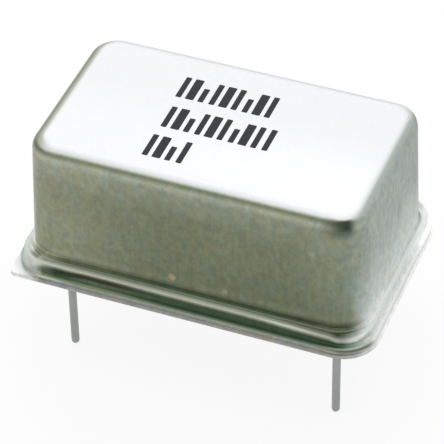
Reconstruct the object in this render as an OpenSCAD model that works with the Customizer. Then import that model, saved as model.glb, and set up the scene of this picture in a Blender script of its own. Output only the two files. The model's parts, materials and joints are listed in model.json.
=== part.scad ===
// Oven-controlled crystal oscillator: a drawn metal can welded to a header plate with four wire pins.
// Inside, a small oven board stands on posts over the base board and keeps the quartz crystal warm.
// Millimetres. The origin is the centre of the header's underside, which is the seating plane.
// +X runs along the long side, +Y to the back and +Z up. The index corner is the front left one, by pin 1.

/* [Header] */
// Length of the header plate
header_l = 20.2; // [19.4:0.1:26]
// Width of the header plate
header_w = 12.6; // [12.3:0.1:18]
// Thickness of the header's rim
rim_t = 0.25; // [0.15:0.05:0.4]
// Height of the header's raised middle over the seating plane
plateau_h = 0.95; // [0.7:0.05:1.5]
// Corner radius of the header
header_r = 2; // [1.4:0.1:2.4]
// Corner radius of the header's index corner
index_r = 0.4; // [0.1:0.1:1]

/* [Pins] */
// Distance between pins along the long side
pin_pitch_x = 15.24; // [12.7:0.02:16]
// Distance between pins along the short side
pin_pitch_y = 7.62; // [6.3:0.02:8]
// Diameter of a pin
pin_d = 0.45; // [0.3:0.05:0.6]
// Length of a pin below the seating plane
pin_l = 6.4; // [2:0.1:15]
// Diameter of a glass seal
seal_d = 1.5; // [1.2:0.1:1.8]

/* [Can] */
// Height of the can's top over the seating plane
can_h = 8.35; // [7.6:0.05:14]
// From the header's end edge to the can's end wall
ledge_x = 0.6; // [0.5:0.05:0.9]
// From the header's long edge to the can's long wall
ledge_y = 0.8; // [0.5:0.05:0.95]
// Thickness of the can's sheet
sheet_t = 0.2; // [0.1:0.05:0.3]
// Height of the raised shoulder at the can's foot, over the seating plane
shoulder_h = 1.15; // [0.9:0.05:1.6]
// Draft angle of the can's walls
draft = 2.3; // [0.5:0.1:3.5]
// Radius of the can's upright corners at their foot
can_r = 1.8; // [1.5:0.1:2.4]
// Radius of the can's top edge
top_r = 0.75; // [0.4:0.05:0.9]

/* [Boards] */
// Thickness of the base board
board_t = 0.6; // [0.4:0.1:1]
// Thickness of the oven board
oven_t = 0.5; // [0.3:0.1:0.8]
// Height of the flat integrated circuits
ic_h = 0.65; // [0.6:0.05:1]
// Diameter of a post that carries the oven board
post_d = 0.7; // [0.6:0.05:0.9]

/* [Crystal] */
// Length of the crystal's case
case_l = 7.6; // [6.3:0.1:9.1]
// Width of the crystal's case
case_w = 7.8; // [6.5:0.1:8]
// Thickness of the crystal's case
case_t = 3; // [2:0.1:3.6]
// Diameter of the quartz blank
blank_d = 5.6; // [5:0.1:5.8]
// Thickness of the quartz blank
blank_t = 0.2; // [0.1:0.05:0.3]
// Distance between the crystal's leads
lead_pitch = 4.88; // [4:0.02:5.2]
// Diameter of the crystal's leads
lead_d = 0.35; // [0.25:0.05:0.45]
// Thickness of the copper plate under the crystal
spreader_t = 0.5; // [0.3:0.1:0.8]

/* [Hidden] */
$fn = 48;

// Cover
flange_inset = 0.05;                 // header's edge to the flange's edge
shoulder_inset = 0.25;               // header's edge to the shoulder's side
flange_top = rim_t + sheet_t;
can_l = header_l - 2 * ledge_x;
can_w = header_w - 2 * ledge_y;
shoulder_l = header_l - 2 * shoulder_inset;
shoulder_w = header_w - 2 * shoulder_inset;
shoulder_r = header_r - shoulder_inset;
ridge_r = 0.15;                      // rounded edge along the top of the shoulder
cove_r = 0.12;                       // fillet between the shoulder's side and the flange
foot_r = min(0.18, min(ledge_x, ledge_y) - shoulder_inset - ridge_r);
ceiling_z = can_h - sheet_t;
sliver = 0.0002;                     // by which shapes that would only touch run into each other

// Header
plateau_gap = 0.5;                   // raised middle to the inside of the can
plateau_l = can_l - 2 * (sheet_t + plateau_gap);
plateau_w = can_w - 2 * (sheet_t + plateau_gap);
inner_r = can_r - 0.6;               // upright corners of everything that fills the can
film_t = 0.05;
film_margin = 0.5;

// Pins
collar_d = pin_d + 0.4;              // the collar inside the header keeps the pin from being pulled out
collar_bevel = 0.2;
pin_rise = 0.4;                      // how far a pin stands out of the base board
solder_d = pin_d + 0.75;
solder_tip_d = pin_d + 0.25;
solder_h = 0.3;
hole_clear = 0.05;                   // round every wire, post and lead in its hole
ground_hole_d = collar_d + 2 * hole_clear;
PINS = [1, 7, 8, 14];                // numbered as on a 14-pin package
GLASS_PINS = [1, 8, 14];
GROUND_PIN = 7;                      // brazed into the header, with no glass

// Stack of boards, from the header up
part_clear = 0.1;                    // over or under the tallest part between two boards
board_z = plateau_h + film_t + part_clear + ic_h;
board_top = board_z + board_t;
oven_z = board_top + ic_h + part_clear;
oven_top = oven_z + oven_t;
case_z = oven_top + spreader_t;
case_top = case_z + case_t;
board_gap = 0.5;                     // base board to the inside of the can's foot
board_l = can_l - 2 * (sheet_t + board_gap);
board_w = can_w - 2 * (sheet_t + board_gap);

// Crystal
case_sheet = 0.2;
case_x = -case_l / 2 - 0.2;          // closed end of the case
base_x = case_x + case_l;            // the case's open end, against its base
base_t = 0.6;
plug_l = 0.3;                        // part of the base that goes into the case
bead_d = lead_d + 0.55;
lead_z = case_z + case_t / 2;
lead_bend_r = 0.5;
lead_x = base_x + base_t + 1.2;      // where the leads go down into the oven board
lead_below = 0.15;
lead_end_x = base_x - plug_l - 0.6;
blank_x = case_x + case_l / 2;
clip_w = 0.6;
clip_t = 0.15;                       // each jaw over and under the blank
clip_bite = 0.9;
clip_stop_x = blank_x + sqrt(pow(blank_d / 2, 2) - pow((lead_pitch - clip_w) / 2, 2)) + 0.1;

// Heaters and their copper plate
heater_l = 2.4;
heater_w = 3;
heater_h = 1.4;
heater_gap = 0.6;                    // between the two heaters
spreader_x = case_x - 0.2;
spreader_end = base_x - 0.2;
heater_x = spreader_x - heater_l;

// Posts, and the oven board that reaches past all it carries
post_end_d = post_d - 0.3;
post_below = 0.2;
post_above = 0.15;
post_x = (pin_pitch_x - solder_d - post_d) / 2 - 0.47;
post_y = max(case_w / 2 - 0.3, heater_gap / 2 + heater_w + 0.3);
oven_l = 2 * max(post_x + 0.5, lead_x + 0.5, 0.1 - heater_x);
oven_w = 2 * (post_y + 0.4);

// Insulation
foam_clear = 0.1;                    // round the oven board, and round each solder joint
foam_fit = 0.35;                     // to the inside of the can's walls
lid_fit = 0.1;                       // to the rounded edge inside the can's top
foam_inset = hundredths(sheet_t + tan(draft) * (case_top - shoulder_h + 2 * sheet_t) + foam_fit);
lid_inset = hundredths(sheet_t + lid_fit
    + top_inset(shoulder_h - 2 * sheet_t, ceiling_z, top_r - sheet_t));

// Small parts, and the centre of each one on its board
CHIP = [1, 0.5, 0.5];
CAPACITOR = [1.6, 0.8, 0.6];
RESISTOR_PLACES = [[0.6, 3.2], [2.2, 3.2], [3.8, 3.2], [0.6, -3.2], [2.2, -3.2]];
CAPACITOR_PLACES = [[0.9, 1.7], [0.9, -1.7], [3.9, 1.9], [3.9, -1.9]];

STEEL = [0.62, 0.64, 0.58];

function pin_place(n) = [
    (n == 1 || n == 14 ? -1 : 1) * pin_pitch_x / 2,
    (n < 8 ? -1 : 1) * pin_pitch_y / 2];

// How far the flat top's outline lies inside the foot of a drafted wall that is rounded into it
function top_inset(z0, z1, edge_r) = tan(draft) * (z1 - edge_r - z0) + edge_r / cos(draft);

function hundredths(size) = ceil(100 * size) / 100;

// ---- Shared shapes ----

module rounded_rect(l, w, r) {
    square([l, w - 2 * r], center = true);
    square([l - 2 * r, w], center = true);
    for (x = [-1, 1], y = [-1, 1])
        translate([x * (l / 2 - r), y * (w / 2 - r)]) circle(r);
}

module oval(l, w) {
    square([l - w, w], center = true);
    for (x = [-1, 1]) translate([x * (l - w) / 2, 0]) circle(d = w);
}

module slab(l, w, r, z0, z1) {
    translate([0, 0, z0]) linear_extrude(z1 - z0) rounded_rect(l, w, r);
}

// Carries an edge profile round a rounded rectangle. The profile's x is the distance out from the axis
// of each corner, and its y is the height.
module round_edge(l, w, r) {
    inner_l = l - 2 * r;
    inner_w = w - 2 * r;
    for (turn = [0:3]) {
        out = turn % 2 == 0 ? inner_l / 2 : inner_w / 2;
        side = turn % 2 == 0 ? inner_w : inner_l;
        rotate([0, 0, 90 * turn]) translate([out, side / 2, 0]) {
            rotate([90, 0, 0]) linear_extrude(side) children();
            rotate_extrude(angle = 90) children();
        }
    }
}

// A block whose sides follow an edge profile
module edged_block(l, w, r, z0, z1) {
    translate([0, 0, (z0 + z1) / 2]) cube([l - 2 * r, w - 2 * r, z1 - z0], center = true);
    round_edge(l, w, r) children();
}

module quarter(r) {
    intersection() {
        circle(r);
        square(r);
    }
}

module tube(d, bore, h) {
    difference() {
        cylinder(d = d, h = h);
        translate([0, 0, -1]) cylinder(d = bore, h = h + 2);
    }
}

module at_pins(numbers) {
    for (n = numbers) translate(pin_place(n)) children();
}

module at_posts() {
    for (x = [-1, 1], y = [-1, 1]) translate([x * post_x, y * post_y, 0]) children();
}

module at_leads() {
    for (y = [-1, 1]) translate([0, y * lead_pitch / 2, 0]) children();
}

// A small part that stands on a face at height z, or hangs below it
module chip(place, size, z, hangs = false) {
    translate([place[0] - size[0] / 2, place[1] - size[1] / 2, hangs ? z - size[2] : z]) cube(size);
}

// ---- Package ----

module header() {
    color(STEEL) difference() {
        union() {
            linear_extrude(rim_t) {
                rounded_rect(header_l, header_w, header_r);
                translate([-header_l / 2, -header_w / 2]) {
                    translate([index_r, index_r]) circle(index_r);
                    translate([0, index_r]) square(header_r);
                    translate([index_r, 0]) square(header_r);
                }
            }
            slab(plateau_l, plateau_w, inner_r, 0, plateau_h);
        }
        at_pins(GLASS_PINS) translate([0, 0, -1]) cylinder(d = seal_d, h = plateau_h + 2);
        at_pins([GROUND_PIN]) translate([0, 0, -1]) cylinder(d = ground_hole_d, h = plateau_h + 2);
    }
}

// Drafted wall, rounded into the flat top. The wall ends just inside the rounding, which leaves no sliver.
module wall_profile(foot_x, z0, z1, edge_r) {
    centre_x = foot_x - top_inset(z0, z1, edge_r);
    centre_z = z1 - edge_r;
    reach = edge_r - sliver;
    polygon([[0, z0], [foot_x, z0],
        [centre_x + reach * cos(draft), centre_z + reach * sin(draft)],
        [centre_x, centre_z], [centre_x, z1], [0, z1]]);
    translate([centre_x, centre_z]) quarter(edge_r);
}

// Shoulder with a rounded upper edge
module shoulder_profile() {
    square([shoulder_r, shoulder_h - ridge_r - flange_top]);
    square([shoulder_r - ridge_r, shoulder_h - flange_top]);
    translate([shoulder_r - ridge_r, shoulder_h - ridge_r - flange_top]) circle(ridge_r);
}

// Concave fillet between an upright face at wall_x and the level face at its foot
module fillet_profile(wall_x, r) {
    difference() {
        translate([wall_x - r, 0]) square([2 * r, r]);
        translate([wall_x + r, r]) circle(r);
    }
}

module cover() {
    wall_z = shoulder_h - sheet_t;
    color(STEEL) difference() {
        union() {
            slab(header_l - 2 * flange_inset, header_w - 2 * flange_inset, header_r - flange_inset,
                rim_t, flange_top);
            translate([0, 0, flange_top]) {
                edged_block(shoulder_l, shoulder_w, shoulder_r, 0, shoulder_h - flange_top)
                    shoulder_profile();
                round_edge(shoulder_l, shoulder_w, shoulder_r) fillet_profile(shoulder_r, cove_r);
            }
            edged_block(can_l, can_w, can_r, wall_z, can_h) wall_profile(can_r, wall_z, can_h, top_r);
            translate([0, 0, shoulder_h]) round_edge(can_l, can_w, can_r)
                fillet_profile(can_r - tan(draft) * (sheet_t + foot_r) - sliver, foot_r);
        }
        slab(shoulder_l - 2 * sheet_t, shoulder_w - 2 * sheet_t, shoulder_r - sheet_t, rim_t - 1, wall_z);
        edged_block(can_l - 2 * sheet_t, can_w - 2 * sheet_t, can_r - sheet_t, wall_z - sheet_t, ceiling_z)
            wall_profile(can_r - sheet_t, wall_z - sheet_t, ceiling_z, top_r - sheet_t);
    }
}

// A wire with a rounded tip and, inside the header, a collar with sloping ends
module wire(n) {
    r = pin_d / 2;
    collar_r = collar_d / 2;
    translate(pin_place(n)) rotate_extrude() {
        translate([0, r - pin_l]) {
            square([r, pin_l - r + board_top + pin_rise]);
            mirror([0, 1]) quarter(r);
        }
        polygon([[0, 0], [r, 0], [collar_r, collar_bevel], [collar_r, plateau_h - collar_bevel],
            [r, plateau_h], [0, plateau_h]]);
    }
}

module pin(n) {
    color("silver") wire(n);
}

module seal(n) {
    color("seagreen") difference() {
        translate(pin_place(n)) cylinder(d = seal_d, h = plateau_h);
        wire(n);
    }
}

module ground_braze() {
    color("gold") difference() {
        at_pins([GROUND_PIN]) {
            cylinder(d = ground_hole_d, h = plateau_h);
            translate([0, 0, plateau_h]) cylinder(d1 = solder_d, d2 = solder_tip_d, h = solder_h);
        }
        wire(GROUND_PIN);
    }
}

module insulating_film() {
    color("orange") difference() {
        slab(plateau_l - 2 * film_margin, plateau_w - 2 * film_margin, inner_r - film_margin,
            plateau_h, plateau_h + film_t);
        at_pins(PINS) cylinder(d = seal_d + film_margin, h = plateau_h + 1);
    }
}

// ---- Base board and its parts ----

module base_board() {
    color("darkgreen") difference() {
        slab(board_l, board_w, inner_r, board_z, board_top);
        at_pins(PINS) cylinder(d = pin_d + 2 * hole_clear, h = board_top + 1);
        at_posts() cylinder(d = post_end_d + 2 * hole_clear, h = board_top + 1);
    }
}

// Each joint fills the hole round its pin and stands over and under the board
module pin_solder() {
    color("lightgray") at_pins(PINS) difference() {
        union() {
            translate([0, 0, board_top]) cylinder(d1 = solder_d, d2 = solder_tip_d, h = solder_h);
            translate([0, 0, board_z]) cylinder(d = pin_d + 2 * hole_clear, h = board_t);
            translate([0, 0, board_z - solder_h]) cylinder(d1 = solder_tip_d, d2 = solder_d, h = solder_h);
        }
        cylinder(d = pin_d, h = board_top + 1);
    }
}

module regulator() {
    color("dimgray") chip([0, 0], [3, 3, ic_h], board_z, hangs = true);
}

module oscillator_ic() {
    color("dimgray") chip([2.5, 0], [1.4, 1.8, ic_h], board_top);
}

module varactor() {
    color("dimgray") chip([4.6, 0], CHIP, board_top);
}

module tuning_coil() {
    color("saddlebrown") chip([0.6, 0], [1.2, 0.8, 0.6], board_top);
}

module chip_resistors() {
    color("black") for (place = RESISTOR_PLACES) chip(place, CHIP, board_top);
}

module chip_capacitors() {
    color("tan") for (place = CAPACITOR_PLACES) chip(place, CAPACITOR, board_top);
}

// ---- Oven ----

module oven_posts() {
    color("silver") at_posts() {
        translate([0, 0, board_z - post_below])
            cylinder(d = post_end_d, h = oven_top + post_above - board_z + post_below);
        translate([0, 0, board_top]) cylinder(d = post_d, h = oven_z - board_top);
    }
}

module oven_board() {
    color("darkgreen") difference() {
        slab(oven_l, oven_w, 0.2, oven_z, oven_top);
        at_posts() cylinder(d = post_end_d + 2 * hole_clear, h = oven_top + 1);
        translate([lead_x, 0, 0]) at_leads() cylinder(d = lead_d + 2 * hole_clear, h = oven_top + 1);
    }
}

module control_ic() {
    color("dimgray") chip([-3, 0], [3, 3, ic_h], oven_z, hangs = true);
}

// A power transistor, soldered to the oven board against the copper plate
module heater(side) {
    color("dimgray") translate([heater_x, side * (heater_gap + heater_w) / 2 - heater_w / 2, oven_top])
        cube([heater_l, heater_w, heater_h]);
}

module thermistor() {
    color("ivory") chip([base_x + base_t + 0.4, 0], [0.8, 1.6, 0.8], oven_top);
}

module heat_spreader() {
    color("chocolate") translate([spreader_x, -case_w / 2, oven_top])
        cube([spreader_end - spreader_x, case_w, spreader_t]);
}

// ---- Crystal ----

// Flat-sided oval that lies along X on the copper plate
module crystal_section(inset, x0, x1) {
    translate([x0, 0, lead_z]) rotate([90, 0, 90]) linear_extrude(x1 - x0)
        oval(case_w - 2 * inset, case_t - 2 * inset);
}

module crystal_case() {
    color("silver") difference() {
        crystal_section(0, case_x, base_x);
        crystal_section(case_sheet, case_x + case_sheet, base_x + 1);
    }
}

module crystal_base() {
    color("gray") difference() {
        union() {
            crystal_section(0, base_x, base_x + base_t);
            crystal_section(case_sheet, base_x - plug_l, base_x + base_t);
        }
        at_leads() translate([base_x - 1, 0, lead_z]) rotate([0, 90, 0])
            cylinder(d = bead_d, h = base_t + 2);
    }
}

module crystal_beads() {
    color("seagreen") at_leads() translate([base_x - plug_l, 0, lead_z]) rotate([0, 90, 0])
        tube(bead_d, lead_d, base_t + plug_l);
}

module crystal_leads() {
    color("silver") at_leads() {
        translate([lead_end_x, 0, lead_z]) rotate([0, 90, 0])
            cylinder(d = lead_d, h = lead_x - lead_bend_r - lead_end_x);
        translate([lead_x - lead_bend_r, 0, lead_z - lead_bend_r]) rotate([90, 0, 0])
            rotate_extrude(angle = 90) translate([lead_bend_r, 0]) circle(d = lead_d);
        translate([lead_x, 0, oven_z - lead_below])
            cylinder(d = lead_d, h = lead_z - lead_bend_r - oven_z + lead_below);
    }
}

// Each clip is a small fork: its jaws hold the blank's edge and its back is welded to the lead's end
module blank_clips() {
    color("gold") at_leads() difference() {
        translate([clip_stop_x - clip_bite, -clip_w / 2, lead_z - blank_t / 2 - clip_t])
            cube([lead_end_x - clip_stop_x + clip_bite, clip_w, blank_t + 2 * clip_t]);
        translate([clip_stop_x - 2 * clip_bite, -clip_w, lead_z - blank_t / 2])
            cube([2 * clip_bite, 2 * clip_w, blank_t]);
    }
}

module quartz_blank() {
    color("lightcyan") translate([blank_x, 0, lead_z - blank_t / 2]) cylinder(d = blank_d, h = blank_t);
}

// ---- Insulation ----

module foam_frame() {
    color("khaki") difference() {
        slab(can_l - 2 * foam_inset, can_w - 2 * foam_inset, inner_r, board_top, case_top);
        slab(oven_l + 2 * foam_clear, oven_w + 2 * foam_clear, 0.3, board_top - 1, case_top + 1);
        at_pins(PINS) cylinder(d = solder_d + 2 * foam_clear, h = board_top + pin_rise + foam_clear);
    }
}

module foam_lid() {
    color("khaki") slab(can_l - 2 * lid_inset, can_w - 2 * lid_inset, inner_r, case_top, ceiling_z);
}

header();
cover();
for (n = PINS) pin(n);
for (n = GLASS_PINS) seal(n);
ground_braze();
insulating_film();
base_board();
pin_solder();
regulator();
oscillator_ic();
varactor();
tuning_coil();
chip_resistors();
chip_capacitors();
oven_posts();
oven_board();
control_ic();
heater(-1);  // heater_front
heater(1);  // heater_back
thermistor();
heat_spreader();
crystal_case();
crystal_base();
crystal_beads();
crystal_leads();
blank_clips();
quartz_blank();
foam_frame();
foam_lid();
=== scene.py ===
# Studio scene of an oven-controlled crystal oscillator: a drawn nickel can on a header with four pins.
# Everything is in metres in the CAD frame: +X along the can, +Y to its back, +Z up, and 0 at the header's
# underside. Patterns and tones are laid out in millimetres, so the materials' coordinates are scaled to them.

import json
import math

import bpy
from mathutils import Matrix, Vector


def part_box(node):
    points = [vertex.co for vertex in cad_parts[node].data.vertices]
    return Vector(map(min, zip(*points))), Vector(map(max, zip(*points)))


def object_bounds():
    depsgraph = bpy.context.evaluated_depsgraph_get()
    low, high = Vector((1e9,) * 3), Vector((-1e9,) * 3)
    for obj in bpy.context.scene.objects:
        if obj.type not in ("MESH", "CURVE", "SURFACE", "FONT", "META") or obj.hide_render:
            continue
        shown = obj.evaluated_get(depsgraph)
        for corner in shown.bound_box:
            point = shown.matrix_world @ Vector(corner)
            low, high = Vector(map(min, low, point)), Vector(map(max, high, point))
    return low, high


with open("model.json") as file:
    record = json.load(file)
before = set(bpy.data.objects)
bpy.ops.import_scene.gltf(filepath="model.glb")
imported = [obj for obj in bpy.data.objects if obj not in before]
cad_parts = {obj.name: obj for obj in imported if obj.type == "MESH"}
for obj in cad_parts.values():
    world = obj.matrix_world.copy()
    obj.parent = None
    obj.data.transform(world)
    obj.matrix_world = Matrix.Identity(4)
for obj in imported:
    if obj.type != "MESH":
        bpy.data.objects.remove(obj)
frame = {"nodes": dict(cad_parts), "record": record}
cad_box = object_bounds()

MM = 0.001

# Camera: where it looks, from where, and how long its lens is
AIM_MM = (0.325, -1.55, 3.0)
CAMERA_AZIMUTH = 21.91
CAMERA_ELEVATION = 41.36
CAMERA_ROLL = -1.06
CAMERA_DISTANCE_MM = 140.8
CAMERA_CLIP_MM = (1, 10000)
LENS_MM = 216.25
SENSOR_MM = 36.0

# Light
WORLD_FILL = 0.86                # what the white surroundings give to matt surfaces
FLOOR_RADIUS_MM = 600
FLOOR_WHITE = 0.85               # how far the floor, as it is seen, is plain white under its shading
FLOOR_VERTICES = 128
SOFTBOX_DISTANCE_MM = 160
SOFTBOX_SIZE_MM = 150
SOFTBOX_RADIANCE = 0.6
SOFTBOXES = (("back_softbox", 43), ("top_softbox", 88))     # behind the object, each with its elevation

# Marks on the can's top, in millimetres: rows of plain printed strokes, each with its left end, right end and
# middle
PRINT_ROWS = ((-3.5, 2.1, 2.15), (-3.3, 2.9, -0.4), (-3.35, -0.85, -2.85))
STROKE_PITCH = 0.62
STROKE_HEIGHT = 1.75
STROKE_HALF_WIDTH = 0.16
STROKE_CORNER = 0.06
WIDE_STROKE_ADDS = 0.08          # to the half width of a wide stroke
LOW_STROKE_LOSES = 0.3           # from the half height of a low stroke
INK = (0.026, 0.028, 0.031)

# Rounded outlines in millimetres: half the length and width, and the corner radius. A place on the plate has
# a run: how far it is outside the can's outline at its foot, plus how far it is below the shoulder's top. The
# run rises all the way from the can's top to the header's rim. The ends' shoulder is narrower than the long
# sides', so it has its own outline.
CAN_OUTLINE = (9.5, 5.5, 1.8)
SHOULDER_OUTLINE = (9.85, 6.05, 1.75)
SHOULDER_WIDTH = 0.55
SHOULDER_LEVEL = 1.15
LEDGE_RUN = 0.17                 # from here outward the run follows the shoulder's outline

# Where each shape ends along the run, in order from the top. The foot's tones start a little above the wall's
# end, and the left end's rim is further out at the index corner.
EDGE_END = -6.80
FOOT_START = -0.35
WALL_END = -0.18
FILLET_END = 0.18
LEDGE_END = 0.40
RIDGE_END = 0.70
SIDE_END = 1.13
COVE_END = 1.37
FLANGE_END = 1.65
RIM_END = 1.95

# Colours of the plate. The top has its own. The drawn sheet's is set by how pale it is: each level has its
# red, green and blue. It is greener where it is darker, and greener on the long sides.
TOP_COLOUR = (0.61, 0.62, 0.635)
LONG_COLOURS = (
    (0.04, 0.024, 0.04, 0.022), (0.10, 0.07, 0.10, 0.06), (0.20, 0.18, 0.20, 0.13),
    (0.40, 0.37, 0.40, 0.32), (0.70, 0.65, 0.70, 0.60))
END_COLOURS = ((0.35, 0.305, 0.35, 0.31), (0.60, 0.55, 0.60, 0.56), (0.90, 0.89, 0.90, 0.895))
SHOULDER_TINT = (0.80, 1.00, 0.93)      # of the long sides' shoulder, which is greener still
RIM_GREY = 0.75                         # how far the rim is plain grey

# How pale the sheet is along the run, with painted light. On the long sides a painted reflection makes one
# dark line along the rounded edge and painted shade makes another at the wall's foot. A painted highlight
# makes the ledge pale, painted shade darkens the shoulder's side, and a painted highlight makes the flange
# pale again. The ends are paler, which is painted light too.
LONG_WALL = (
    (-7.65, 0.63), (-7.40, 0.22), (-7.30, 0.22), (-7.00, 0.39), (EDGE_END + 0.2, 0.28), (-5.00, 0.21),
    (-1.00, 0.175), (-0.60, 0.215), (FOOT_START, 0.185))
LONG_FOOT = (
    (FOOT_START, 0.185), (WALL_END + 0.08, 0.08), (0.00, 0.09), (FILLET_END, 0.37), (LEDGE_END - 0.05, 0.70),
    (LEDGE_END + 0.02, 0.70), (RIDGE_END - 0.14, 0.26), (RIDGE_END, 0.07), (SIDE_END - 0.08, 0.08),
    (SIDE_END + 0.05, 0.05), (COVE_END - 0.09, 0.09), (COVE_END + 0.06, 0.48), (FLANGE_END - 0.15, 0.28),
    (FLANGE_END - 0.03, 0.31), (FLANGE_END + 0.03, 0.45), (RIM_END - 0.20, 0.24), (RIM_END, 0.375))
END_WALL = (
    (-8.00, 0.68), (-7.75, 0.47), (EDGE_END, 0.345), (-4.00, 0.355), (-2.00, 0.485), (-1.10, 0.56),
    (-0.60, 0.66), (FOOT_START, 0.79))
RIGHT_FOOT = (
    (FOOT_START, 0.79), (WALL_END, 0.80), (-0.05, 0.60), (0.02, 0.60), (FILLET_END + 0.1, 0.81),
    (LEDGE_END, 0.81), (LEDGE_END + 0.1, 0.69), (RIDGE_END, 0.64), (SIDE_END, 0.83), (COVE_END + 0.03, 0.83),
    (COVE_END + 0.09, 0.68), (FLANGE_END - 0.1, 0.74), (FLANGE_END, 0.89), (RIM_END - 0.19, 0.91),
    (RIM_END, 0.75))
LEFT_FOOT = (
    (FOOT_START, 0.79), (WALL_END, 0.85), (FILLET_END - 0.06, 0.61), (FILLET_END + 0.1, 0.57),
    (LEDGE_END, 0.65), (RIDGE_END, 0.61), (SIDE_END, 0.74), (COVE_END + 0.09, 0.355), (FLANGE_END, 0.52),
    (RIM_END, 0.60), (RIM_END + 0.20, 0.68))

# Other colours of the plate
UNDERSIDE = (0.54, 0.55, 0.535)
# The dark corner mark, partly a mark on the metal and partly a painted reflection
DARK_CORNER_MARK_AND_REFLECTION = (0.040, 0.062, 0.040)
# Painted shade on the flange at two corners
PAINTED_FLANGE_SHADE = (0.19, 0.20, 0.16)
DULL_METALLIC = 0.25             # on the shoulder and the flange, where the plate mirrors little

# Soft-edged flecks on the front wall, one yellowish and two pale: each one's middle, radius and colour
FLECKS = (
    ((-0.98, -5.46, 1.98), 0.19, (0.36, 0.285, 0.145)),
    ((2.00, -5.46, 1.90), 0.15, (0.24, 0.28, 0.20)),
    ((6.70, -5.30, 5.85), 0.13, (0.25, 0.31, 0.22)))

GLASS_IOR = 1.52
QUARTZ_IOR = 1.54
ELECTRODE_RADIUS = 1.5


# ---- Shader building ----

class Graph:
    """Adds shader nodes to one material or to the world. Values may be sockets, numbers or colours."""

    def __init__(self, tree):
        self.tree = tree

    def add(self, kind, **settings):
        node = self.tree.nodes.new("ShaderNode" + kind)
        for name, value in settings.items():
            setattr(node, name, value)
        return node

    def feed(self, socket, value):
        if isinstance(value, bpy.types.NodeSocket):
            self.tree.links.new(value, socket)
        else:
            socket.default_value = value

    def math(self, operation, *values):
        node = self.add("Math", operation=operation)
        for socket, value in zip(node.inputs, values):
            self.feed(socket, value)
        return node.outputs[0]

    def product(self, first, *others):
        for other in others:
            first = self.math("MULTIPLY", first, other)
        return first

    def beyond(self, value, limit):
        """How far value is past limit on either side of 0."""
        return self.math("MAXIMUM", 0.0, self.math("SUBTRACT", self.math("ABSOLUTE", value), limit))

    def hypotenuse(self, one, other):
        return self.math("SQRT", self.math("ADD", self.product(one, one), self.product(other, other)))

    def step(self, value, low, high, to_low=0.0, to_high=1.0):
        """Rises smoothly from to_low to to_high as value goes from low to high."""
        node = self.add("MapRange", interpolation_type="SMOOTHSTEP")
        for socket, number in zip(node.inputs, (value, low, high, to_low, to_high)):
            self.feed(socket, number)
        return node.outputs[0]

    def fall(self, value, low, high):
        """Falls smoothly from 1 to 0 as value goes from low to high."""
        return self.step(value, low, high, 1.0, 0.0)

    def band(self, value, low, full, full_end, end):
        """Rises smoothly from low to full and falls from full_end to end."""
        return self.product(self.step(value, low, full), self.fall(value, full_end, end))

    def blend(self, share, first, second):
        """The number share of the way from first to second."""
        node = self.add("Mix", data_type="FLOAT")
        self.feed(node.inputs[0], share)
        self.feed(node.inputs[2], first)
        self.feed(node.inputs[3], second)
        return node.outputs[0]

    def mix(self, share, first, second):
        """The colour share of the way from first to second."""
        node = self.add("Mix", data_type="RGBA")
        self.feed(node.inputs[0], share)
        self.feed(node.inputs[6], first)
        self.feed(node.inputs[7], second)
        return node.outputs[2]

    def ramp(self, value, stops):
        """The colour at value along stops, each a value with its red, green and blue."""
        low, high = stops[0][0], stops[-1][0]
        node = self.add("ValToRGB")
        elements = node.color_ramp.elements
        for _ in stops[2:]:
            elements.new(1.0)
        for element, (place, *tone) in zip(elements, stops):
            element.position = (place - low) / (high - low)
            element.color = rgb(*tone)
        self.feed(node.inputs[0], self.math("DIVIDE", self.math("SUBTRACT", value, low), high - low))
        return node.outputs[0]

    def levels(self, value, stops):
        """The number at value along stops, each a value with its level."""
        return self.ramp(value, [(place, level, level, level) for place, level in stops])

    def tint(self, colour, other, share=1.0):
        """colour times other, or share of the way there."""
        node = self.add("Mix", data_type="RGBA", blend_type="MULTIPLY")
        self.feed(node.inputs[0], share)
        self.feed(node.inputs[6], colour)
        self.feed(node.inputs[7], other)
        return node.outputs[2]

    def tint_where(self, colour, tone, *shares):
        """colour times tone, as far as the product of the shares reaches."""
        return self.tint(colour, self.mix(self.product(*shares), rgb(1, 1, 1), rgb(*tone)))

    def position(self, stretch=(1, 1, 1)):
        """The place on the object in millimetres, with each axis times its stretch."""
        scale = self.add("VectorMath", operation="MULTIPLY")
        self.feed(scale.inputs[0], self.add("TexCoord").outputs["Object"])
        scale.inputs[1].default_value = [s / MM for s in stretch]
        return scale.outputs[0]

    def distance(self, point_mm):
        """How far the place on the object is from a point, in millimetres."""
        node = self.add("VectorMath", operation="DISTANCE")
        self.feed(node.inputs[0], self.position())
        node.inputs[1].default_value = point_mm
        return node.outputs["Value"]

    def axes(self, vector):
        node = self.add("SeparateXYZ")
        self.feed(node.inputs[0], vector)
        return node.outputs

    def normal(self):
        return self.axes(self.add("NewGeometry").outputs["Normal"])

    def noise(self, vector, scale, detail=3.0, roughness=0.5):
        node = self.add("TexNoise")
        self.feed(node.inputs["Vector"], vector)
        node.inputs["Scale"].default_value = scale
        node.inputs["Detail"].default_value = detail
        node.inputs["Roughness"].default_value = roughness
        return node.outputs[0]

    def bump(self, height, depth_mm, strength=1.0, under=None):
        """A relief of depth_mm between heights 0 and 1."""
        node = self.add("Bump")
        node.inputs["Strength"].default_value = strength
        node.inputs["Distance"].default_value = depth_mm * MM
        self.feed(node.inputs["Height"], height)
        if under is not None:
            self.feed(node.inputs["Normal"], under)
        return node.outputs[0]


def rgb(red, green, blue):
    return (red, green, blue, 1.0)


def new_material(name, look):
    """A material whose look function gets its graph and its Principled shader."""
    material = bpy.data.materials.new(name)
    material.use_nodes = True
    graph = Graph(material.node_tree)
    look(graph, material.node_tree.nodes["Principled BSDF"].inputs)
    return material


# ---- Nickel plate of the can and the header ----

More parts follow.
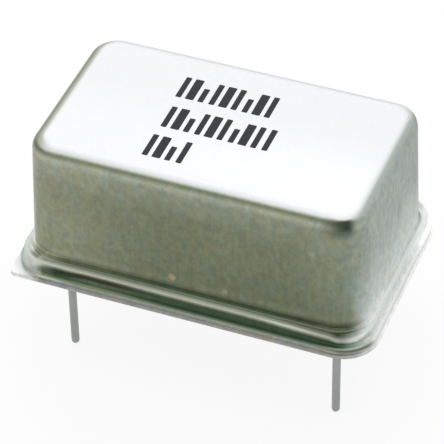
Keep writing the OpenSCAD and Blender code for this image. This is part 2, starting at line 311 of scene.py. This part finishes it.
def printed_strokes(graph):
    """1 where the can's top carries ink. Every third stroke is wide and every fourth one is low."""
    x, y, _ = graph.axes(graph.position())
    ink = 0.0
    for left, right, middle in PRINT_ROWS:
        along = graph.math("DIVIDE", graph.math("SUBTRACT", x, left), STROKE_PITCH)
        index = graph.math("FLOOR", along)
        across = graph.product(graph.math("SUBTRACT", graph.math("FRACT", along), 0.5), STROKE_PITCH)
        wide = graph.math("COMPARE", graph.math("MODULO", index, 3.0), 1.0, 0.1)
        low = graph.math("COMPARE", graph.math("MODULO", index, 4.0), 2.0, 0.1)
        up = graph.math("MULTIPLY_ADD", low, LOW_STROKE_LOSES, graph.math("SUBTRACT", y, middle))
        # The stroke is what lies within a corner's radius of its core
        half_width = graph.math("MULTIPLY_ADD", wide, WIDE_STROKE_ADDS, STROKE_HALF_WIDTH - STROKE_CORNER)
        half_height = graph.math("MULTIPLY_ADD", low, -LOW_STROKE_LOSES, STROKE_HEIGHT / 2 - STROKE_CORNER)
        reach = graph.hypotenuse(graph.beyond(across, half_width), graph.beyond(up, half_height))
        inside = graph.math("LESS_THAN", reach, STROKE_CORNER)
        from_first = graph.math("GREATER_THAN", index, -0.5)
        to_last = graph.math("LESS_THAN", index, round((right - left) / STROKE_PITCH) - 0.5)
        ink = graph.math("MAXIMUM", ink, graph.product(inside, from_first, to_last))
    faces_up = graph.math("GREATER_THAN", graph.normal()[2], 0.95)
    return graph.product(ink, faces_up)


def from_outline(graph, x, y, half_x, half_y, corner):
    """How far a place is outside a rounded outline, and how far its side faces along X: 0 on the long sides,
    1 at the ends."""
    beyond_x = graph.beyond(x, half_x - corner)
    beyond_y = graph.beyond(y, half_y - corner)
    both = graph.math("MAXIMUM", graph.math("ADD", beyond_x, beyond_y), 0.001)
    reach = graph.math("SUBTRACT", graph.hypotenuse(beyond_x, beyond_y), corner)
    return reach, graph.math("DIVIDE", beyond_x, both)


class Place:
    """Where a place is on the plate: its axes in millimetres, its run, and shares from 0 to 1."""

    def __init__(self, graph):
        self.x, self.y, self.z = graph.axes(graph.position())
        below = graph.math("SUBTRACT", SHOULDER_LEVEL, self.z)
        can_out, self.can_share = from_outline(graph, self.x, self.y, *CAN_OUTLINE)
        self.shoulder_out, self.foot_share = from_outline(graph, self.x, self.y, *SHOULDER_OUTLINE)
        can_run = graph.math("ADD", can_out, below)
        foot_run = graph.math("ADD", graph.math("ADD", self.shoulder_out, below), SHOULDER_WIDTH)
        past_can = graph.math("GREATER_THAN", can_run, LEDGE_RUN)
        self.run = graph.blend(past_can, can_run, foot_run)
        self.left = graph.math("LESS_THAN", self.x, 0.0)
        # The index corner, by pin 1, is at the front left. It and the one across are one pair of corners.
        self.index_pair = graph.math("GREATER_THAN", graph.product(self.x, self.y), 0.0)
        self.other_pair = graph.math("SUBTRACT", 1.0, self.index_pair)
        self.end = graph.blend(past_can, self.wall_turn(graph), self.foot_turn(graph, foot_run))
        self.long_side = graph.math("SUBTRACT", 1.0, self.end)

    def wall_turn(self, graph):
        """How far the can's corner has turned from a long side's tones to an end's. One pair turns faster low
        down."""
        other = graph.blend(graph.step(self.run, -2.4, -1.0), graph.step(self.can_share, 0.25, 0.95),
                            graph.step(self.can_share, 0.36, 0.86))
        return graph.blend(self.index_pair, other, graph.step(self.can_share, 0.40, 1.0))

    def foot_turn(self, graph, foot_run):
        """The same round the foot, where the index pair turns sooner."""
        other = graph.blend(graph.step(foot_run, 0.5, 0.6), graph.step(self.foot_share, 0.10, 0.65),
                            graph.step(self.foot_share, 0.15, 1.05))
        return graph.blend(self.index_pair, other, graph.step(self.foot_share, 0.02, 0.34))


def profile_tones_and_painted_light(graph, at):
    """The plate's tones along the run, with painted reflections, highlights and shade. To the right, the
    bands of tone on the long sides' foot are further out, and the ones under the shoulder further in."""
    out = graph.math("ADD", graph.step(at.x, 3.0, 8.5, 0.0, -0.18), graph.step(at.x, 7.8, 8.4, 0.0, -0.11))
    out = graph.product(out, graph.band(at.run, 0.05, 0.25, 0.78, 1.00))
    shift = graph.math(
        "MULTIPLY_ADD", graph.step(at.x, 7.0, 9.0, 0.0, 0.14), graph.step(at.run, 0.90, 1.15), out)
    foot = graph.math("MULTIPLY_ADD", shift, graph.fall(at.foot_share, 0.45, 0.72), at.run)
    in_foot = graph.math("GREATER_THAN", at.run, FOOT_START)
    long_level = graph.blend(in_foot, graph.levels(at.run, LONG_WALL), graph.levels(foot, LONG_FOOT))
    end_foot = graph.blend(at.left, graph.levels(foot, RIGHT_FOOT), graph.levels(foot, LEFT_FOOT))
    end_level = graph.blend(in_foot, graph.levels(at.run, END_WALL), end_foot)
    sides = graph.mix(at.end, graph.ramp(long_level, LONG_COLOURS), graph.ramp(end_level, END_COLOURS))
    sides = graph.tint_where(
        sides, SHOULDER_TINT, graph.band(foot, RIDGE_END, 0.95, 1.30, 1.55), at.long_side)

    # The rim is greyer
    on_rim = graph.step(foot, COVE_END, FLANGE_END + 0.05, 0.0, RIM_GREY)
    sides = graph.mix(on_rim, sides, graph.blend(at.end, long_level, end_level))

    # The top's colour reaches down the rounded edge, further on the long sides
    past_top = graph.step(graph.math("MULTIPLY_ADD", at.end, 0.25, at.run), -7.75, -7.50)
    return graph.mix(past_top, rgb(*TOP_COLOUR), sides)


def walls_painted_light_and_mark(graph, at, colour):
    """Tints of the can's walls and top edge: painted light, and a dark mark that is partly a painted
    reflection.
    """
    # Painted light makes the long sides paler to the left, more so low down, and a little paler beside the
    # right corners
    colour = graph.tint_where(
        colour, (1.64, 1.56, 1.68), graph.fall(at.x, -8.5, -1.0), graph.band(at.run, -7.5, -6.5, -0.3, 0.1),
        graph.fall(at.can_share, 0.65, 0.95), graph.step(at.run, -6.5, -1.0, 0.35, 1.0))
    colour = graph.tint_where(
        colour, (1.20, 1.24, 1.34), graph.step(at.x, 5.5, 8.2), graph.band(at.run, -6.6, -4.5, -1.0, -0.3),
        graph.fall(at.can_share, 0.45, 0.90))

    # A dark mark under one top corner, at the front right: partly a mark on the metal and partly a painted
    # reflection
    mark = graph.product(
        graph.step(at.x, 6.8, 8.4), graph.fall(at.can_share, 0.38, 0.56),
        graph.band(at.run, -7.75, -7.50, -7.1, -6.0), at.other_pair)
    colour = graph.mix(mark, colour, rgb(*DARK_CORNER_MARK_AND_REFLECTION))

    # A painted reflection makes the left end's top edge as dark as the long sides'
    return graph.tint_where(
        colour, (0.60, 0.60, 0.48), graph.band(at.run, -8.25, -8.0, -7.5, -6.8), graph.fall(at.x, -8.9, -7.9))


def long_sides_painted_light(graph, at, colour):
    """Tints of the long sides' foot, all of them painted light. Most of them are on its left half."""
    # The shoulder's side is paler low down, a painted highlight, under a dark streak of painted shade that
    # sinks to the left
    colour = graph.tint_where(
        colour, (2.2, 1.75, 1.8), graph.band(at.run, 0.80, 0.98, 1.30, 1.38),
        graph.band(at.x, -7.6, -5.8, -5.0, -0.5))
    streak_run = graph.math("SUBTRACT", at.run, graph.step(at.x, -7.2, -5.4, 0.18, 0.0))
    colour = graph.tint_where(
        colour, (0.52, 0.44, 0.40), graph.band(streak_run, 0.44, 0.62, 0.78, 0.95),
        graph.band(at.x, -8.0, -7.3, -4.5, -1.0))

    # Painted light makes the wall's foot paler to the right
    colour = graph.tint_where(
        colour, (1.60, 1.42, 1.45), graph.band(at.run, -0.35, -0.20, -0.02, 0.06), graph.step(at.x, 6.5, 7.8),
        at.long_side)

    # Near the left corners the wall's foot, the ridge and the cove fade to pale under painted light
    foot = graph.product(
        graph.band(at.run, -0.5, -0.3, 0.0, 0.16), graph.fall(at.x, -8.3, -6.9),
        graph.step(at.x, -8.6, -7.9, 1.35, 1.0))
    ridge = graph.product(graph.band(at.run, 0.48, 0.60, 0.75, 0.86), graph.fall(at.x, -8.4, -7.5))
    cove = graph.product(
        graph.step(at.run, 1.08, 1.20), graph.step(at.run, 1.50, 1.60, 0.75, 0.0),
        graph.fall(at.x, -8.2, -6.2))
    faded = graph.math("ADD", graph.math("ADD", foot, ridge), cove)
    colour = graph.tint_where(colour, (2.49, 2.32, 2.46), faded, at.long_side, 0.74)
    colour = graph.tint_where(
        colour, (1.92, 1.54, 1.78), graph.band(at.run, 0.56, 0.70, 1.18, 1.34), graph.fall(at.x, -8.0, -7.3),
        graph.fall(at.foot_share, 0.02, 0.18))

    # The painted dark lines of shade at the wall's foot and in the cove are browner to the left
    foot = graph.band(at.run, -0.36, -0.25, -0.10, 0.0)
    cove = graph.band(at.run, 1.06, 1.16, 1.24, 1.32)
    return graph.tint_where(
        colour, (1.38, 1.18, 1.13), graph.math("ADD", foot, cove), graph.fall(at.x, -4.0, -1.0), at.long_side)


def right_end_painted_light(graph, at, colour):
    """Painted light on the right end's foot."""
    # The shoulder is paler to the back, its ridge sooner than its side: painted light
    y = graph.math("ADD", at.y, graph.step(at.run, 0.72, 1.05, 1.4, 0.0))
    colour = graph.tint_where(
        colour, (1.40, 1.36, 1.36), graph.band(at.run, 0.40, 0.58, 1.25, 1.60), graph.step(y, 1.8, 4.2),
        graph.step(at.x, 8.5, 9.5))

    # The wall's foot is paler to the front: painted light
    return graph.tint_where(
        colour, (1.20, 1.18, 1.21), graph.band(at.run, -0.36, -0.10, 0.06, 0.16), graph.step(at.x, 8.6, 9.3),
        graph.fall(at.y, -2.8, -0.3))


def corners_painted_light(graph, at, colour):
    """Painted light and shade at the foot's corners."""
    # At the index corner painted shade makes a dark dab at the can's foot and darker metal under the
    # shoulder, and a painted highlight makes a paler rim.
    # Each has its tint and the limits of its run and of how far the corner has turned.
    for tone, run_limits, turn_limits in (
            ((0.44, 0.46, 0.43), (-0.04, 0.12, 0.20, 0.42), (0.20, 0.32, 0.42, 0.60)),
            ((0.72, 0.72, 0.72), (0.92, 1.08, 1.24, 1.40), (0.08, 0.20, 0.36, 0.48)),
            ((1.30, 1.29, 1.26), (1.50, 1.62, 1.76, 1.86), (0.04, 0.20, 0.34, 0.46))):
        colour = graph.tint_where(
            colour, tone, graph.band(at.run, *run_limits), graph.band(at.foot_share, *turn_limits),
            at.left, at.index_pair)

    # The painted highlight on the ledge narrows towards the right corners. The front right one's shoulder has
    # a paler side, also a painted highlight.
    colour = graph.tint_where(
        colour, (0.56, 0.56, 0.56), graph.band(at.run, 0.30, 0.45, 0.85, 1.00), graph.step(at.x, 5.0, 8.3),
        graph.fall(at.foot_share, 0.20, 0.48))
    colour = graph.tint_where(
        colour, (1.50, 1.46, 1.50), graph.band(at.run, 0.82, 0.95, 1.16, 1.28), graph.step(at.x, 7.0, 8.0),
        graph.band(at.foot_share, 0.08, 0.30, 0.60, 0.85), at.other_pair)

    # Painted shade darkens the flange round the front right corner and the one across
    flange = graph.product(
        graph.band(at.run, 1.25, 1.40, 1.50, 1.62), graph.band(at.foot_share, 0.0, 0.25, 0.60, 0.85),
        at.other_pair)
    return graph.mix(flange, colour, rgb(*PAINTED_FLANGE_SHADE))


def plate(graph, shader):
    """Matt nickel plate over drawn sheet: pale where it lies level, darker and streaked down the walls, with
    painted reflections, highlights and shade along its profile. Feeds all but the colour and how metallic it
    is, which it returns."""
    at = Place(graph)
    colour = profile_tones_and_painted_light(graph, at)
    for mark in (walls_painted_light_and_mark, long_sides_painted_light, right_end_painted_light, corners_painted_light):
        colour = mark(graph, at, colour)

    # The header's underside and its inner faces are plain
    facing = graph.normal()[2]
    under = graph.product(graph.math("LESS_THAN", at.z, 1.0), graph.math("LESS_THAN", at.shoulder_out, -0.03))
    under = graph.math("MAXIMUM", under, graph.fall(facing, -0.95, -0.70))
    colour = graph.mix(under, colour, rgb(*UNDERSIDE))

    # Clouds, streaks and mottle shade what isn't level. A painted sheen makes the top a little brighter to
    # the front and right.
    clouds = graph.noise(graph.position(), 0.45, 3.0, 0.5)
    streaks = graph.noise(graph.position((1, 1, 0.10)), 5.0, 3.0, 0.65)
    mottle = graph.step(graph.noise(graph.position((1, 1, 0.8)), 2.6, 3.0, 0.7), 0.25, 0.75)
    level = graph.step(graph.math("ABSOLUTE", facing), 0.5, 0.93)
    shade = graph.product(
        graph.math("MULTIPLY_ADD", clouds, 0.20, 0.90), graph.math("MULTIPLY_ADD", streaks, 0.14, 0.93),
        graph.math("MULTIPLY_ADD", mottle, 0.28, 0.86))
    shade = graph.blend(level, shade, 1.0)
    painted_top_sheen = graph.product(
        graph.step(at.y, -3.0, 2.0, 0.065, -0.010), graph.step(at.x, -4.0, 8.0, 0.55, 1.30),
        graph.fall(at.run, -8.5, -7.9))
    shade = graph.math("MULTIPLY_ADD", shade, painted_top_sheen, shade)
    grey = graph.add("CombineColor")
    for socket in grey.inputs:
        graph.feed(socket, shade)
    colour = graph.tint(colour, grey.outputs[0])

    # The hue wanders between warm and cool, less so at the ends and hardly at all where the plate is level
    hue = graph.step(graph.noise(graph.position((1, 1, 0.6)), 1.5, 3.0, 0.75), 0.2, 0.8)
    tone = graph.mix(hue, rgb(1.085, 0.988, 0.85), rgb(0.915, 1.012, 1.15))
    share = graph.product(
        graph.math("MULTIPLY_ADD", level, -0.88, 1.0), graph.math("MULTIPLY_ADD", at.end, -0.35, 1.0))
    colour = graph.tint(colour, tone, share)

    grain = graph.noise(graph.position(), 26.0, 2.0)
    graph.feed(shader["Roughness"], graph.step(streaks, 0.3, 0.7, 0.45, 0.37))
    graph.feed(shader["Normal"], graph.bump(streaks, 0.006, 0.6, graph.bump(grain, 0.004, 0.6)))
    shader["Specular IOR Level"].default_value = 0.12
    dull = graph.band(at.run, 0.08, 0.20, 1.62, 1.70)
    return colour, graph.math("MULTIPLY_ADD", dull, DULL_METALLIC - 1, 1.0)


def nickel(graph, shader):
    """The plate with nothing on it."""
    colour, metallic = plate(graph, shader)
    graph.feed(shader["Base Color"], colour)
    graph.feed(shader["Metallic"], metallic)


def printed_nickel(graph, shader):
    """The can's nickel, with its printed strokes and the flecks on its front wall."""
    colour, metallic = plate(graph, shader)
    ink = printed_strokes(graph)
    covered = ink
    ragged = graph.math("MULTIPLY_ADD", graph.noise(graph.position(), 6.0), 0.30, -0.15)
    for middle, radius, tone in FLECKS:
        reach = graph.math("ADD", graph.distance(middle), ragged)
        fleck = graph.fall(reach, 0.5 * radius, 1.5 * radius)
        colour = graph.mix(fleck, colour, rgb(*tone))
        covered = graph.math("MAXIMUM", covered, fleck)
    graph.feed(shader["Base Color"], graph.mix(ink, colour, rgb(*INK)))
    graph.feed(shader["Metallic"], graph.product(metallic, graph.math("SUBTRACT", 1.0, covered)))


# ---- Other looks ----

def pin_wire(graph, shader):
    """Nickel-plated wire with faint rings from drawing and dull patches."""
    rings = graph.noise(graph.position((0.3, 0.3, 1)), 9.0, 3.0, 0.6)
    dull = graph.noise(graph.position((1, 1, 0.4)), 1.4, 2.0)
    colour = graph.mix(graph.step(dull, 0.2, 0.8), rgb(0.275, 0.293, 0.280), rgb(0.335, 0.350, 0.335))
    graph.feed(shader["Base Color"], colour)
    shader["Metallic"].default_value = 1.0
    graph.feed(shader["Roughness"], graph.step(rings, 0.3, 0.7, 0.30, 0.44))
    graph.feed(shader["Normal"], graph.bump(rings, 0.004, 0.6))


def seal_glass(graph, shader):
    """Opaque green-black sealing glass with tiny bubbles."""
    bubbles = graph.add("TexVoronoi")
    graph.feed(bubbles.inputs["Vector"], graph.position())
    bubbles.inputs["Scale"].default_value = 9.0
    pits = graph.step(bubbles.outputs["Distance"], 0.05, 0.3)
    colour = graph.mix(pits, rgb(0.10, 0.17, 0.15), rgb(0.035, 0.075, 0.062))
    graph.feed(shader["Base Color"], colour)
    graph.feed(shader["Roughness"], graph.step(pits, 0.0, 1.0, 0.30, 0.12))
    shader["IOR"].default_value = GLASS_IOR
    shader["Coat Weight"].default_value = 0.5
    graph.feed(shader["Normal"], graph.bump(pits, 0.01))


def plain_metal(pale, dark, rough, scale):
    """A look for small metal pieces: two tones in clouds, with roughness and relief to match."""
    def look(graph, shader):
        clouds = graph.noise(graph.position(), scale, 4.0, 0.6)
        graph.feed(shader["Base Color"], graph.mix(graph.step(clouds, 0.35, 0.65), rgb(*dark), rgb(*pale)))
        shader["Metallic"].default_value = 1.0
        graph.feed(shader["Roughness"], graph.step(clouds, 0.3, 0.7, rough + 0.08, rough - 0.05))
        graph.feed(shader["Normal"], graph.bump(clouds, 0.01, 0.7))
    return look


def plain_matt(pale, dark, rough, scale, relief_mm=0.01):
    """A look for small moulded, fired or foamed pieces: fine two-tone grain with its own relief."""
    def look(graph, shader):
        grain = graph.noise(graph.position(), scale, 4.0, 0.65)
        graph.feed(shader["Base Color"], graph.mix(graph.step(grain, 0.3, 0.7), rgb(*dark), rgb(*pale)))
        graph.feed(shader["Roughness"], graph.step(grain, 0.3, 0.7, rough + 0.06, rough - 0.06))
        graph.feed(shader["Normal"], graph.bump(grain, relief_mm, 0.8))
    return look


def circuit_board(graph, shader):
    """Green solder mask over tracks, which show as paler raised lines, and bare glass fibre at the edges."""
    y = graph.axes(graph.position())[1]
    wave = graph.noise(graph.position(), 0.35, 1.0)
    lane = graph.math("FRACT", graph.math("MULTIPLY_ADD", wave, 2.5, graph.product(y, 0.8)))
    track = graph.fall(graph.math("ABSOLUTE", graph.math("SUBTRACT", lane, 0.5)), 0.10, 0.14)
    mask = graph.mix(track, rgb(0.018, 0.115, 0.045), rgb(0.035, 0.185, 0.07))
    weave = graph.noise(graph.position((1, 1, 6)), 5.0, 2.0)
    fibre = graph.mix(weave, rgb(0.42, 0.40, 0.24), rgb(0.55, 0.52, 0.34))
    edge = graph.fall(graph.math("ABSOLUTE", graph.normal()[2]), 0.3, 0.6)
    graph.feed(shader["Base Color"], graph.mix(edge, mask, fibre))
    graph.feed(shader["Roughness"], graph.step(edge, 0.0, 1.0, 0.25, 0.75))
    graph.feed(shader["Normal"], graph.bump(track, 0.03, 0.6))


def quartz(graph, shader):
    """Polished quartz with a round silver electrode at its middle."""
    low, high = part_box("quartz_blank")
    haze = graph.noise(graph.position(), 3.0, 3.0)
    electrode = graph.math("LESS_THAN", graph.distance((low + high) / 2 / MM), ELECTRODE_RADIUS)
    clear = graph.mix(haze, rgb(0.80, 0.85, 0.87), rgb(0.90, 0.93, 0.95))
    graph.feed(shader["Base Color"], graph.mix(electrode, clear, rgb(0.78, 0.77, 0.74)))
    graph.feed(shader["Metallic"], electrode)
    graph.feed(shader["Roughness"], graph.step(haze, 0.3, 0.7, 0.06, 0.16))
    graph.feed(shader["Transmission Weight"], graph.math("MULTIPLY_ADD", electrode, -0.6, 0.6))
    shader["IOR"].default_value = QUARTZ_IOR
    graph.feed(shader["Normal"], graph.bump(haze, 0.003, 0.3))


LOOKS = {
    "nickel_steel": nickel,
    "pin_wire": pin_wire,
    "seal_glass": seal_glass,
    "braze": plain_metal((0.72, 0.62, 0.40), (0.52, 0.44, 0.27), 0.30, 4.0),
    "polyimide_film": plain_matt((0.68, 0.34, 0.04), (0.58, 0.27, 0.03), 0.22, 6.0, 0.002),
    "circuit_board": circuit_board,
    "solder": plain_metal((0.74, 0.75, 0.76), (0.55, 0.56, 0.58), 0.24, 6.0),
    "chip_body": plain_matt((0.045, 0.045, 0.048), (0.018, 0.018, 0.020), 0.55, 30.0, 0.006),
    "ferrite": plain_matt((0.12, 0.10, 0.09), (0.06, 0.05, 0.045), 0.60, 24.0),
    "resistor_ceramic": plain_matt((0.06, 0.06, 0.065), (0.03, 0.03, 0.033), 0.35, 18.0, 0.004),
    "capacitor_ceramic": plain_matt((0.50, 0.37, 0.23), (0.40, 0.29, 0.18), 0.45, 18.0),
    "post_brass": plain_metal((0.76, 0.62, 0.33), (0.60, 0.47, 0.24), 0.28, 5.0),
    "sensor_ceramic": plain_matt((0.76, 0.71, 0.60), (0.66, 0.61, 0.50), 0.50, 20.0),
    "copper": plain_metal((0.78, 0.41, 0.26), (0.67, 0.335, 0.21), 0.32, 1.2),
    "crystal_case_metal": plain_metal((0.56, 0.56, 0.55), (0.50, 0.50, 0.49), 0.26, 0.9),
    "crystal_base_metal": plain_metal((0.53, 0.53, 0.51), (0.46, 0.46, 0.44), 0.38, 1.5),
    "gilt_clip": plain_metal((0.88, 0.68, 0.30), (0.74, 0.54, 0.22), 0.25, 6.0),
    "quartz": quartz,
    "foam": plain_matt((0.82, 0.78, 0.66), (0.62, 0.58, 0.47), 0.90, 3.5, 0.12),
}


def finish_nodes():
    """Gives each CAD node the look of its slot in the record. Only the cover is printed."""
    slot_of = {part["node"]: part["material_slot"] for part in frame["record"]["subparts"]}
    looks = {slot: new_material(slot, look) for slot, look in LOOKS.items()}
    looks["printed"] = new_material("nickel_steel_printed", printed_nickel)
    for name, node in frame["nodes"].items():
        slot = "printed" if name == "cover" else slot_of[name]
        node.data.materials.clear()
        node.data.materials.append(looks[slot])


# ---- Studio ----

def around(azimuth, elevation):
    """The unit vector from the object towards that direction. Azimuth 0 is in front, along -Y."""
    a, e = math.radians(azimuth), math.radians(elevation)
    return Vector((math.sin(a) * math.cos(e), -math.cos(a) * math.cos(e), math.sin(e)))


def add_camera():
    data = bpy.data.cameras.new("camera")
    data.sensor_width = SENSOR_MM
    data.lens = LENS_MM
    back = around(CAMERA_AZIMUTH, CAMERA_ELEVATION)
    place = (Vector(AIM_MM) + back * CAMERA_DISTANCE_MM) * MM
    data.clip_start, data.clip_end = (limit * MM for limit in CAMERA_CLIP_MM)
    camera = bpy.data.objects.new("camera", data)
    turn = (-back).to_track_quat("-Z", "Y").to_matrix().to_4x4()
    roll = Matrix.Rotation(math.radians(CAMERA_ROLL), 4, "Z")
    camera.matrix_world = Matrix.Translation(place) @ turn @ roll
    bpy.context.scene.collection.objects.link(camera)
    bpy.context.scene.camera = camera


def add_softbox(name, elevation):
    """A square light behind the object that faces it. Its power is what its radiance needs."""
    data = bpy.data.lights.new(name, "AREA")
    side = SOFTBOX_SIZE_MM * MM
    data.size = side
    data.energy = SOFTBOX_RADIANCE * math.pi * side * side
    light = bpy.data.objects.new(name, data)
    out = around(CAMERA_AZIMUTH + 180, elevation)
    light.location = out * SOFTBOX_DISTANCE_MM * MM
    light.rotation_mode = "QUATERNION"
    light.rotation_quaternion = (-out).to_track_quat("-Z", "Y")
    bpy.context.scene.collection.objects.link(light)


def seen_ray(graph):
    """1 for what the camera sees, straight, mirrored or through glass, and 0 for light on matt surfaces."""
    path = graph.add("LightPath").outputs
    return graph.math("MAXIMUM", path["Is Camera Ray"], graph.math(
        "MAXIMUM", path["Is Glossy Ray"], path["Is Transmission Ray"]))


def add_surroundings():
    """White all round for the camera and for reflections, and a little less for matt surfaces."""
    world = bpy.data.worlds.new("surroundings")
    bpy.context.scene.world = world
    world.use_nodes = True
    graph = Graph(world.node_tree)
    background = world.node_tree.nodes["Background"].inputs
    background["Color"].default_value = rgb(1, 1, 1)
    strength = graph.math("MULTIPLY_ADD", seen_ray(graph), 1 - WORLD_FILL, WORLD_FILL)
    graph.feed(background["Strength"], strength)


def floor_look(graph, shader):
    """Pale matt card. As it is seen, it is partly plain white, so the object's shadow stays light."""
    grain = graph.noise(graph.position(), 0.8, 2.0)
    graph.feed(shader["Base Color"], graph.mix(grain, rgb(0.945, 0.945, 0.945), rgb(0.955, 0.955, 0.955)))
    graph.feed(shader["Roughness"], graph.step(grain, 0, 1, 0.85, 0.95))
    shader["Specular IOR Level"].default_value = 0.1
    graph.feed(shader["Normal"], graph.bump(grain, 0.01, 0.2))
    nodes = graph.tree.nodes
    white = graph.add("Emission")
    blend = graph.add("MixShader")
    graph.feed(blend.inputs[0], graph.product(seen_ray(graph), FLOOR_WHITE))
    graph.feed(blend.inputs[1], nodes["Principled BSDF"].outputs[0])
    graph.feed(blend.inputs[2], white.outputs[0])
    graph.feed(nodes["Material Output"].inputs["Surface"], blend.outputs[0])


def add_floor():
    """A round floor under the pins' tips."""
    bpy.ops.mesh.primitive_circle_add(
        vertices=FLOOR_VERTICES, radius=FLOOR_RADIUS_MM * MM, fill_type="NGON", location=(0, 0, cad_box[0].z))
    floor = bpy.context.object
    floor.name = "floor"
    floor.data.materials.append(new_material("floor", floor_look))


add_camera()
add_surroundings()
for softbox in SOFTBOXES:
    add_softbox(*softbox)
add_floor()
finish_nodes()
bpy.context.scene.view_settings.view_transform = "Standard"
